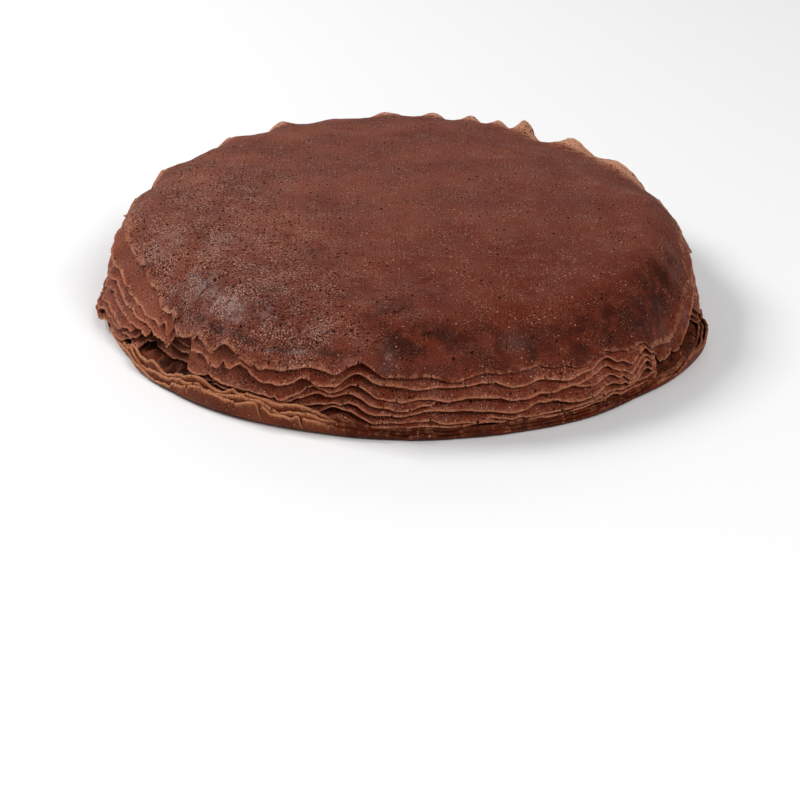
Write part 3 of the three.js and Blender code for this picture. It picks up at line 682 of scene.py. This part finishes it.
def draped_crepe(crepe):
    """Rings over the top, round the thin edge, and back under to where the crepe rests."""
    r, z = draped_profile(crepe)
    away = distance_from_edge(r, z)
    along = np.stack([np.gradient(r, axis=0), np.gradient(z, axis=0)])
    along = along / np.maximum(np.hypot(*along), 1e-6)
    thick = lerp(SHEET_TIP, SHEET, smoothstep(away, 0.0, TIP_WIDTH))
    under_r, under_z = r + along[1] * thick, z - along[0] * thick
    brown = [brownness(crepe, ring_r) for ring_r in r]
    no_spots = np.zeros((len(LOWER_SPOTS), COLUMNS))
    rings, skin = [], []

    def add(radius, height, pale, spots, brown_and_shade):
        rings.append(polar(radius, height))
        skin.append((pale, *spots, brown_and_shade))

    for ring_r, ring_z, ring_away, brown_and_shade in zip(r, z, away, brown):
        add(ring_r, ring_z, paleness(crepe, ring_away), draped_spots(crepe, ring_r), brown_and_shade)
    bulge_r, bulge_z = TIP_BULGE * SHEET_TIP * along[:, -1]
    tip_r, tip_z = 0.5 * (r[-1] + under_r[-1]), 0.5 * (z[-1] + under_z[-1])
    rings.append(polar(tip_r + bulge_r, tip_z + bulge_z))
    skin.append(skin[-1])
    first_under = int(np.argmax(r.max(axis=1) > UNDER_START))
    hanging = range(len(r) - 1, first_under, -UNDER_STRIDE)
    for k in hanging:
        resting = support(crepe, under_r[k], BEARINGS) - CLEARANCE
        solid = 1.0 - smoothstep(r[k], UNDER_START, UNDER_FREE)
        height = np.maximum(lerp(under_z[k], resting, solid), np.minimum(resting, z[k] - SHEET_TIP))
        add(under_r[k], height, paleness(crepe, away[k]), no_spots, brown[k])
    for radius in (UNDER_START - UNDER_INSET, 0.0):
        ring_r = np.full(COLUMNS, radius)
        resting = support(crepe, ring_r, BEARINGS) - CLEARANCE
        add(ring_r, resting, 0.0 * ring_r, no_spots, brown[hanging[-1]])
    attributes = dict(zip(("pale", "dark", "wet", "porous", "brown"), zip(*skin)))
    return grid_mesh(f"Crepe{crepe + 1}", rings, attributes, SKIN_SHIFT * crepe)


# ---------- Base crepes ----------

RIM_RINGS = 13
RIM_RING_POWER = 1.5               # they lie closer together in the bend
LIP_STEPS = 5
LIP_BULGE = 0.4                    # the lip bulges by this share of the sheet's thickness
LIP_INSET = 0.3                    # a torn lip lies about this far under the smooth one
LIP_MINIMUM = 0.4                  # least height of a torn lip above its own floor
CRUMPLE_POWER = 3                  # a rim's own crumples are near its lip
FLOOR_STEPS = (0.0, 0.5, 0.62, 0.68, 0.74, 0.8, 0.86, 0.93)    # from the shoulder to the bend
CRUMPLE_MIDDLE = 0.8               # of those steps, where the floor is most crumpled
CRUMPLE_HALF = 0.25
FLOOR_SHEET = 0.4                  # least thickness of the floor
UNDERSIDE_STEPS = (0.9, 0.0)       # from the bend back to the shoulder
# Splits in the outermost rim: bearing, half width in degrees, depth.
SPLITS = (
    (246, 0.45, 5.5), (253.4, 0.4, 4.5), (231, 0.4, 2.5), (222, 0.5, 1.5), (334, 0.4, 2.5),
)

RIM_BORDER = 1.5                   # width of a rim's paler border
BORDER_LOST = 0.8                  # share of that border which is lost where the rim is brown and painted shaded
SHADED_FRONT_RIM = (264.0, 318.0)          # the rims are darker at the front: painted shade at the cake's foot
FRONT_RIM_SHADE = 0.6
BROWN_RIM = (322.0, 352.0)         # and a little browner at the right
BROWN_RIM_SHARE = 0.5              # of the front's painted shade, as brown
RIM_FADE = 10.0
BEND_SHADE_AND_FILLING = 0.8                # the inside is darker in the bend and on the floor: partly the cocoa filling, partly painted shade


def rim_point(base, inset, travel, bearing, lip):
    """Radius and height at a share of the way up a rim's face: a bend, then a straight lean."""
    bend = RIM_BEND - inset
    lean = math.radians(RIM_LEAN)
    bend_top = RIM_BEND - bend * math.cos(lean)
    height = lerp(inset, lip, travel)
    low = np.minimum(height, bend_top)
    radius = np.sqrt(np.maximum(bend ** 2 - (RIM_BEND - low) ** 2, 0.0))
    radius = radius + np.maximum(height - bend_top, 0.0) / math.tan(lean)
    crease = (SHARED_CREASE[2] + ring_noise(SHARED_CREASE, 0, bearing)) * travel
    crumple = (OWN_CRUMPLE[2] + ring_noise(OWN_CRUMPLE, base, bearing)) * travel ** CRUMPLE_POWER
    return floor_radius(bearing) - CLEARANCE + radius - crease - crumple, height


def base_lip(base):
    """Height of a rim's torn lip."""
    torn = ring_noise(COARSE_LIP, base, BEARINGS) + ring_noise(FINE_LIP, base, BEARINGS)
    lip = rim_height(base, BEARINGS) + torn - nicks(LIP_NICKS, base, BEARINGS) - LIP_INSET
    if base == 0:
        for at, half, depth in SPLITS:
            lip = lip - depth * crest(turn_difference(BEARINGS, at) / half)
    return np.maximum(lip, base * RIM_PITCH + RIM_SHEET + LIP_MINIMUM)


def base_crepe(base):
    """Rings over the floor, up inside the rim, round its lip, down outside it and back under."""
    outer_inset = base * RIM_PITCH
    inner_inset = outer_inset + RIM_SHEET
    lip = base_lip(base)
    top = (base + 1) * LAYER_PITCH - LAYER_GAP
    bottom = base * LAYER_PITCH
    floor = floor_radius(BEARINGS) - CLEARANCE
    zero = 0.0 * BEARINGS
    # Painted shade: the rims are darker and browner at the front, where the cake's foot is shaded.
    darker = between(BEARINGS, *SHADED_FRONT_RIM, RIM_FADE)
    browner = np.maximum(darker, BROWN_RIM_SHARE * between(BEARINGS, *BROWN_RIM, RIM_FADE))
    rings, pale, dark, brown = [], [], [], []

    def add(radius, height, from_lip=RIM_BORDER, darkness=0.0):
        rings.append(polar(radius, height))
        border = np.clip(1.0 - from_lip / RIM_BORDER, 0.0, 1.0)
        pale.append(border * (1.0 - BORDER_LOST * browner))
        dark.append(np.maximum(FRONT_RIM_SHADE * darker, darkness))
        brown.append(browner)

    add(zero, zero + top)
    for f in FLOOR_STEPS:
        radius = lerp(SHOULDER_RADIUS, floor, f)
        height = lerp(top, inner_inset, f) + zero
        if base == BASE_CREPES - 1:
            crumple = plane_noise(FLOOR_CRUMPLE, 0, *plan(radius, BEARINGS))
            height = height + crumple * crest((f - CRUMPLE_MIDDLE) / CRUMPLE_HALF)
        height = np.maximum(height, lerp(bottom, outer_inset, f) + FLOOR_SHEET)
        add(radius, height, darkness=1.0)
    travels = (np.arange(RIM_RINGS) / (RIM_RINGS - 1)) ** RIM_RING_POWER
    for f in travels:
        radius, height = rim_point(base, inner_inset, f, BEARINGS, lip)
        add(radius, height, lip - height, BEND_SHADE_AND_FILLING * (1.0 - f))
    inner_r, _ = rim_point(base, inner_inset, 1.0, BEARINGS, lip)
    outer_r, _ = rim_point(base, outer_inset, 1.0, BEARINGS, lip)
    for turn in math.pi * np.arange(1, LIP_STEPS) / LIP_STEPS:
        radius = lerp(inner_r, outer_r, 0.5 - 0.5 * math.cos(turn))
        add(radius, lip + LIP_BULGE * RIM_SHEET * math.sin(turn), 0.0)
    for f in (1.0 - np.arange(RIM_RINGS) / (RIM_RINGS - 1)) ** RIM_RING_POWER:
        radius, height = rim_point(base, outer_inset, f, BEARINGS, lip)
        add(radius, height, lip - height)
    for f in UNDERSIDE_STEPS:
        add(lerp(SHOULDER_RADIUS, floor, f), lerp(bottom, outer_inset, f) + zero)
    add(zero, zero + bottom)
    number = DRAPED_CREPES + BASE_CREPES - base
    attributes = {"pale": pale, "dark": dark, "brown": brown}
    return grid_mesh(f"Crepe{number}", rings, attributes, SKIN_SHIFT * number)


# ---------- Materials ----------

def srgb(red, green, blue):
    def linear(value):
        value /= 255.0
        return value / 12.92 if value <= 0.04045 else ((value + 0.055) / 1.055) ** 2.4
    return (linear(red), linear(green), linear(blue), 1.0)


# Layers of the baked skin: size in mm, detail and roughness of a noise, and the values between
# which the layer sets in.
PATCHES = ((16.0, 4.0, 0.6), (0.38, 0.62))
BLOTCHES = ((5.0, 3.0, 0.6), (0.45, 0.7))
BROWN_PATCHES = ((11.0, 3.0, 0.55), (0.3, 0.7))
SCORCH_AND_SHADE_PATCHES = ((7.0, 3.0, 0.5), (0.36, 0.55))
FRAYS = ((2.5, 3.0, 0.6), (0.3, 0.7))
CLUSTERS = ((8.0, 3.0, 0.6), (0.35, 0.65))
CRUMB_AND_HIGHLIGHT_PATCHES = ((0.65, 1.0, 0.5), (0.53, 0.64))
WET_PATCHES = ((8.0, 2.0, 0.5), (0.3, 0.6))
DULL_PATCHES = ((9.0, 3.0, 0.55), (0.3, 0.7))
GRAIN = (0.6, 2.0, 0.65)           # a noise alone
DARK_GRAIN = (0.34, 0.5)           # values of the grain that are dark
GOLD_GRAIN = (0.54, 0.72)          # and golden: painted highlights
RIPPLE = (2.6, 3.0, 0.6)           # a noise alone

BLOTCH_STRENGTH = 0.3
LEAST_BROWN = 0.6                  # of the brown, between its patches
SCORCH_AND_SHADE_STRENGTH = 0.85
FRAY_REACH = 0.35                  # how much the fraying moves a pale border in or out
PALE_RANGE = (0.1, 0.95)
PALE_STRENGTH = 0.75
LIP_RANGE = (0.6, 1.0)             # paleness of the very edge, which is golden
LIP_STRENGTH = 0.6
DARK_GRAIN_STRENGTH = 0.6
LEAST_CLUSTER = 0.15               # of the specks, between their clusters
SCORCH_AND_SHADE_DULLS = 0.6                 # share of the specks that burnt places and painted shade lose
GLINT_DOTS = (2.0, 0.3)            # spacing, widest dot
GLINT_DENSITY = 0.42
GLINT_STRENGTH = 0.6
PALE_POROSITY = 0.8
CRUMB_AND_HIGHLIGHT_STRENGTH = 0.55
SMALL_PORES = (1.5, 0.4)           # spacing, widest dot
LARGE_PORES = (3.0, 0.68)
LARGE_PORE_SHARE = 0.7
PORE_STRENGTH = 0.95
DOT_LEAST = 0.35                   # the narrowest dot, as a share of the widest
DOT_CORE = 0.65                    # a dot is full out to this share of its width

ROUGHNESS = (0.54, 0.68)
WET_SMOOTHS = 0.14
WET_COAT = 0.36
COAT_ROUGHNESS = 0.42
SPECULAR_LEVEL = 0.07
SUBSURFACE = 0.08
SUBSURFACE_RADIUS = (1.0, 0.3, 0.15)    # of red, green and blue light, in mm
GRAIN_RELIEF = 0.5                 # as a share of a pore's
PORE_BUMP = (0.4, 0.9)             # depth in mm, strength
RIPPLE_BUMP = (0.5, 0.6)

# The glints are painted highlights of tiny bubbles.
GLINT = srgb(218, 172, 142)
# The pale crumbs round the pores are partly their own colour, partly painted highlights on the
# pores' rims.
CRUMB_AND_HIGHLIGHT = srgb(206, 162, 138)
PORE = srgb(40, 10, 4)
# The top crepe's light and dark tones are greyed: painted sheen, which the brown towards the front
# and the right covers.
TOP_LOOK = {
    "light": srgb(119, 62, 47), "dark": srgb(95, 45, 34), "baked_and_shaded": srgb(90, 27, 7),
    "edge": srgb(160, 98, 72), "scorch_and_shade": srgb(46, 13, 6), "gold": srgb(212, 154, 122),
    "specks": 0.55, "pores": 0.95,
}
DRAPED_LOOK = {
    "light": srgb(134, 68, 48), "dark": srgb(108, 48, 32), "baked_and_shaded": srgb(98, 33, 13),
    "edge": srgb(170, 102, 74), "scorch_and_shade": srgb(50, 14, 7), "gold": srgb(206, 142, 108),
    "specks": 0.42, "pores": 0.4,
}
BASE_LOOK = {
    "light": srgb(122, 62, 38), "dark": srgb(98, 43, 25), "baked_and_shaded": srgb(82, 27, 10),
    "edge": srgb(158, 96, 64), "scorch_and_shade": srgb(40, 13, 7), "gold": srgb(190, 126, 88),
    "specks": 0.25, "pores": 0.2,
}


class Shader:
    """A thin helper round one material's node tree."""

    def __init__(self, name):
        self.material = bpy.data.materials.new(name)
        self.material.use_nodes = True
        self.tree = self.material.node_tree
        place = self.node("TexCoord").outputs["Object"]
        scaled = self.node("VectorMath", {0: place, "Scale": 1.0 / MM}, operation="SCALE")
        self.place = scaled.outputs[0]
        self.skin = self.attribute("skin", "Vector")

    def put(self, node, inputs):
        """Links or sets a node's sockets."""
        for socket, value in inputs.items():
            if isinstance(value, bpy.types.NodeSocket):
                self.tree.links.new(value, node.inputs[socket])
            else:
                node.inputs[socket].default_value = value

    def node(self, kind, inputs=None, **settings):
        node = self.tree.nodes.new("ShaderNode" + kind)
        for setting, value in settings.items():
            setattr(node, setting, value)
        self.put(node, inputs or {})
        return node

    def surface(self, inputs):
        self.put(self.tree.nodes["Principled BSDF"], inputs)

    def attribute(self, name, output="Fac"):
        return self.node("Attribute", attribute_name=name).outputs[output]

    def math(self, operation, a, b):
        return self.node("Math", {0: a, 1: b}, operation=operation).outputs[0]

    def times(self, a, b):
        return self.math("MULTIPLY", a, b)

    def steps(self, value, low, high, out_low=0.0, out_high=1.0):
        """A smooth step from out_low to out_high."""
        inputs = {"Value": value, "From Min": low, "From Max": high}
        inputs.update({"To Min": out_low, "To Max": out_high})
        return self.node("MapRange", inputs, interpolation_type="SMOOTHSTEP").outputs["Result"]

    def noise(self, size, detail, roughness, place=None):
        """Noise whose features are about `size` millimetres."""
        inputs = {"Scale": 1.0 / size, "Detail": detail, "Roughness": roughness}
        inputs["Vector"] = place or self.place
        return self.node("TexNoise", inputs).outputs["Fac"]

    def layer(self, pattern, out_low=0.0, out_high=1.0, place=None):
        """One of the layers above, from out_low where it is missing to out_high where it is full."""
        noise, span = pattern
        return self.steps(self.noise(*noise, place), *span, out_low, out_high)

    def dots(self, size, widest, density):
        """Round dots of random width on scattered points about `size` apart."""
        inputs = {"Vector": self.skin, "Scale": 1.0 / size}
        cells = self.node("TexVoronoi", inputs, voronoi_dimensions="2D")
        random = self.node("SeparateColor", {0: cells.outputs["Color"]})
        away = self.times(cells.outputs["Distance"], size)
        width = self.math("ADD", self.times(random.outputs[1], 1.0 - DOT_LEAST), DOT_LEAST)
        width = self.times(width, widest)
        shown = self.math("LESS_THAN", random.outputs[0], density)
        return self.times(self.steps(away, self.times(width, DOT_CORE), width, 1.0, 0.0), shown)

    def mix(self, amount, a, b):
        """Sockets 6 and 7 and output 2 of a Mix node are its colours."""
        return self.node("Mix", {0: amount, 6: a, 7: b}, data_type="RGBA").outputs[2]

    def bump(self, height, depth, strength, normal=None):
        inputs = {"Height": height, "Distance": depth * MM, "Strength": strength}
        if normal is not None:
            inputs["Normal"] = normal
        return self.node("Bump", inputs).outputs["Normal"]


def baked_and_shaded_colour(s, look):
    """Light and dark patches, with browner, burnt and painted-shade places where the mesh says so.
    """
    colour = s.mix(s.layer(PATCHES), look["light"], look["dark"])
    colour = s.mix(s.layer(BLOTCHES, 0.0, BLOTCH_STRENGTH), colour, look["dark"])
    brown_and_shade = s.times(s.attribute("brown"), s.layer(BROWN_PATCHES, LEAST_BROWN))
    colour = s.mix(brown_and_shade, colour, look["baked_and_shaded"])
    # The dark attribute marks burnt places and painted shade alike.
    scorch_and_shade_mask = s.times(s.attribute("dark"), s.layer(SCORCH_AND_SHADE_PATCHES))
    return s.mix(s.times(scorch_and_shade_mask, SCORCH_AND_SHADE_STRENGTH), colour, look["scorch_and_shade"])


def speck_share(s):
    """Where the specks' painted highlights show: in clusters, and less on burnt places and painted
    shade.
    """
    kept = s.math("SUBTRACT", 1.0, s.times(s.attribute("dark"), SCORCH_AND_SHADE_DULLS))
    return s.times(s.layer(CLUSTERS, LEAST_CLUSTER), kept)


def crepe_material(name, look):
    """Baked cocoa crepe: mottled, with pin-holes, painted highlights of golden specks and a paler
    thin edge.
    """
    s = Shader(name)
    colour = baked_and_shaded_colour(s, look)

    frayed = s.math("ADD", s.attribute("pale"), s.layer(FRAYS, -FRAY_REACH, FRAY_REACH))
    pale = s.steps(frayed, *PALE_RANGE)
    colour = s.mix(s.times(pale, PALE_STRENGTH), colour, look["edge"])
    lip = s.steps(s.attribute("pale"), *LIP_RANGE)
    colour = s.mix(s.times(lip, LIP_STRENGTH), colour, look["gold"])

    grain = s.noise(*GRAIN, s.skin)
    colour = s.mix(s.steps(grain, *DARK_GRAIN, DARK_GRAIN_STRENGTH, 0.0), colour, look["scorch_and_shade"])
    lit = speck_share(s)
    # The golden specks and the glints are painted highlights of tiny bumps and bubbles.
    fleck_highlights = s.times(s.steps(grain, *GOLD_GRAIN), lit)
    colour = s.mix(s.times(fleck_highlights, look["specks"]), colour, look["gold"])
    glints = s.dots(*GLINT_DOTS, s.times(lit, GLINT_DENSITY))
    colour = s.mix(s.times(glints, GLINT_STRENGTH), colour, GLINT)

    porous = s.math("MAXIMUM", s.attribute("porous"), s.times(pale, PALE_POROSITY))
    # Pale crumbs round the pores: partly their own colour, partly painted highlights on the pores'
    # rims.
    crumb_and_highlight = s.times(s.layer(CRUMB_AND_HIGHLIGHT_PATCHES, place=s.skin), porous)
    colour = s.mix(s.times(crumb_and_highlight, s.times(lit, CRUMB_AND_HIGHLIGHT_STRENGTH)), colour, CRUMB_AND_HIGHLIGHT)
    small = s.dots(*SMALL_PORES, s.times(porous, look["pores"]))
    large = s.dots(*LARGE_PORES, s.times(porous, LARGE_PORE_SHARE * look["pores"]))
    pore = s.math("MAXIMUM", small, large)
    colour = s.mix(s.times(pore, PORE_STRENGTH), colour, PORE)

    wet = s.times(s.attribute("wet"), s.layer(WET_PATCHES))
    rough = s.math("SUBTRACT", s.layer(DULL_PATCHES, *ROUGHNESS), s.times(wet, WET_SMOOTHS))
    relief = s.math("SUBTRACT", s.times(grain, GRAIN_RELIEF), pore)
    normal = s.bump(s.noise(*RIPPLE), *RIPPLE_BUMP, s.bump(relief, *PORE_BUMP))
    s.surface({
        "Base Color": colour,
        "Roughness": s.math("MAXIMUM", rough, pore),
        "Normal": normal,
        "Coat Weight": s.times(wet, WET_COAT),
        "Coat Roughness": COAT_ROUGHNESS,
        "Specular IOR Level": SPECULAR_LEVEL,
        "Subsurface Weight": SUBSURFACE,
        "Subsurface Radius": SUBSURFACE_RADIUS,
        "Subsurface Scale": MM,
    })
    return s.material


# ---------- The crepes ----------

def dress(piece, node, material, slot):
    piece.data.materials.append(material)
    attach(piece, "root")
    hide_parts(node)


TOP_CREPE = crepe_material("TopCrepe", TOP_LOOK)
DRAPED_CREPE = crepe_material("DrapedCrepe", DRAPED_LOOK)
BASE_CREPE = crepe_material("BaseCrepe", BASE_LOOK)

for number in range(DRAPED_CREPES):
    finish_of = (TOP_CREPE, "top_crepe") if number == 0 else (DRAPED_CREPE, "draped_crepe")
    dress(draped_crepe(number), f"crepe_{number + 1}", *finish_of)
for number in range(BASE_CREPES):
    base_node = f"crepe_{DRAPED_CREPES + BASE_CREPES - number}"
    dress(base_crepe(number), base_node, BASE_CREPE, "base_crepe")

# ---------- Floor, light and camera, in metres ----------

FLOOR_HALF = 6.0
FLOOR_COLOUR = srgb(240, 240, 240)
FLOOR_ROUGHNESS = 0.9
FLOOR_SPECULAR = 0.1
GLOW_RADII = (900.0, 3000.0)       # in mm: it glows from the first, fully from the second
GLOW_STRENGTH = 0.85

LIGHT_TARGET = Vector((0.0, 0.0, 0.02))
# Bearing, elevation, distance, (width, height), watts.
LIGHTS = {
    "KeyLeft": (165.0, 44.0, 1.5, (0.7, 0.5), 17.0),
    "BackSheen": (92.0, 30.0, 1.7, (1.6, 0.6), 5.0),
    "FrontRight": (300.0, 42.0, 1.6, (0.9, 0.5), 15.0),
}
WHITE = (1.0, 1.0, 1.0, 1.0)
WORLD_STRENGTH = 0.2

# The camera looks down at the cake from the front. Its picture is 20 degrees wide.
CAMERA_PLACE = Vector((-0.0001, -0.7861, 0.3608))
CAMERA_PITCH = math.radians(27.2)
CAMERA_ROLL = math.radians(1.55)
CAMERA_FIELD = math.radians(20.0)
CAMERA_CLIP = (0.05, 50.0)


def floor_material():
    """Plain paper that glows far off, so that it is as pale there as near the lamps."""
    s = Shader("FloorPaper")
    away = s.node("VectorMath", {0: s.place}, operation="LENGTH").outputs["Value"]
    s.surface({
        "Base Color": FLOOR_COLOUR,
        "Roughness": FLOOR_ROUGHNESS,
        "Specular IOR Level": FLOOR_SPECULAR,
        "Emission Color": FLOOR_COLOUR,
        "Emission Strength": s.steps(away, *GLOW_RADII, 0.0, GLOW_STRENGTH),
    })
    return s.material


def pale_floor():
    mesh = bpy.data.meshes.new("Floor")
    ways = ((-1, -1), (1, -1), (1, 1), (-1, 1))
    corners = [(FLOOR_HALF * x, FLOOR_HALF * y, 0.0) for x, y in ways]
    mesh.from_pydata(corners, [], [(0, 1, 2, 3)])
    mesh.materials.append(floor_material())
    floor = add_object("Floor", mesh)


def soft_light(name, bearing, elevation, distance, size, watts):
    data = bpy.data.lights.new(name, "AREA")
    data.shape = "RECTANGLE"
    data.size, data.size_y = size
    data.energy = watts
    light = add_object(name, data)
    a, e = math.radians(bearing), math.radians(elevation)
    way = Vector((math.cos(a) * math.cos(e), math.sin(a) * math.cos(e), math.sin(e)))
    light.location = LIGHT_TARGET + distance * way
    light.rotation_euler = (LIGHT_TARGET - light.location).to_track_quat("-Z", "Y").to_euler()


def studio_world():
    world = bpy.data.worlds.new("Studio")
    world.use_nodes = True
    background = world.node_tree.nodes["Background"]
    background.inputs["Color"].default_value = WHITE
    background.inputs["Strength"].default_value = WORLD_STRENGTH
    bpy.context.scene.world = world
    bpy.context.scene.view_settings.view_transform = "Standard"


def place_camera():
    data = bpy.data.cameras.new("Camera")
    data.angle = CAMERA_FIELD
    data.clip_start, data.clip_end = CAMERA_CLIP
    camera = add_object("Camera", data)
    forward = Vector((0.0, math.cos(CAMERA_PITCH), -math.sin(CAMERA_PITCH)))
    level_up = Vector((0.0, math.sin(CAMERA_PITCH), math.cos(CAMERA_PITCH)))
    level_right = Vector((1.0, 0.0, 0.0))
    c, s = math.cos(CAMERA_ROLL), math.sin(CAMERA_ROLL)
    right = level_right * c + level_up * s
    up = level_up * c - level_right * s
    turn = Matrix((right, up, -forward)).transposed().to_4x4()
    camera.matrix_world = Matrix.Translation(CAMERA_PLACE) @ turn
    bpy.context.scene.camera = camera


pale_floor()
for light_name, setting in LIGHTS.items():
    soft_light(light_name, *setting)
studio_world()
place_camera()
